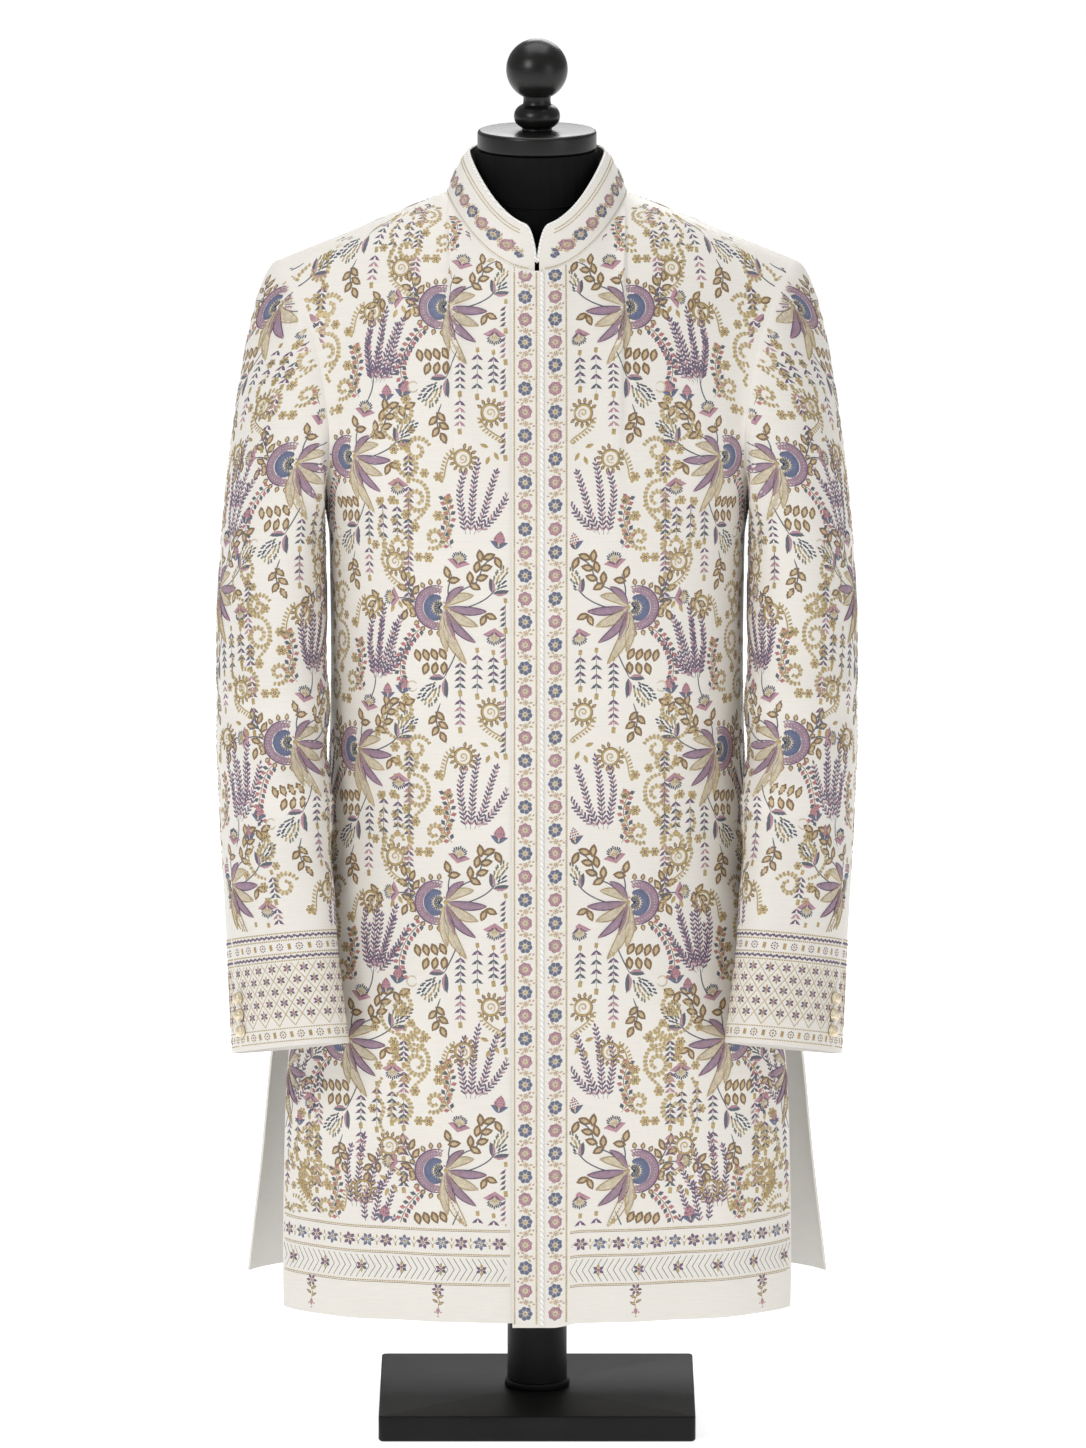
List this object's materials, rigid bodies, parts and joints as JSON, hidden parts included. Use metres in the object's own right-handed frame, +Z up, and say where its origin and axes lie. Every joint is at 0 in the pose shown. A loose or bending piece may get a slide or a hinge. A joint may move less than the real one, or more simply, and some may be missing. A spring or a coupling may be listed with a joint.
{
  "type": "sherwani coat on dress form",
  "caption": "Knee-length ivory sherwani coat with stand collar, front overlap, side vents and thread embroidery, on a black limbless dress form with pole and base plate.",
  "frame": {"origin": "centre of the base plate's underside, on the pole's axis", "axes": "+Z up along the pole, -Y is where the coat faces, +X is the wearer's left"},
  "size_m": [0.5362, 0.2854, 1.1706],
  "materials": {
    "ivory_satin": "satin weave with thread embroidery",
    "white_piping": "corded piping",
    "pale_gold": "satin dome",
    "black_jersey": "matt jersey",
    "black_wood": "satin lacquer",
    "black_metal": "powder coat"
  },
  "bodies": {
    "root": {"back": "ivory_satin", "collar": "ivory_satin", "collar_piping": "white_piping", "cuff_button_left_1": "pale_gold", "cuff_button_left_2": "pale_gold", "cuff_button_left_3": "pale_gold", "cuff_button_right_1": "pale_gold", "cuff_button_right_2": "pale_gold", "cuff_button_right_3": "pale_gold", "form_base_plate": "black_metal", "form_finial": "black_wood", "form_neck_cap": "black_wood", "form_pole": "black_metal", "form_pole_ring": "black_metal", "form_torso": "black_jersey", "front_left": "ivory_satin", "front_piping": "white_piping", "front_right": "ivory_satin", "top_sleeve_left": "ivory_satin", "top_sleeve_right": "ivory_satin", "under_sleeve_left": "ivory_satin", "under_sleeve_right": "ivory_satin"}
  },
  "joints": []
}
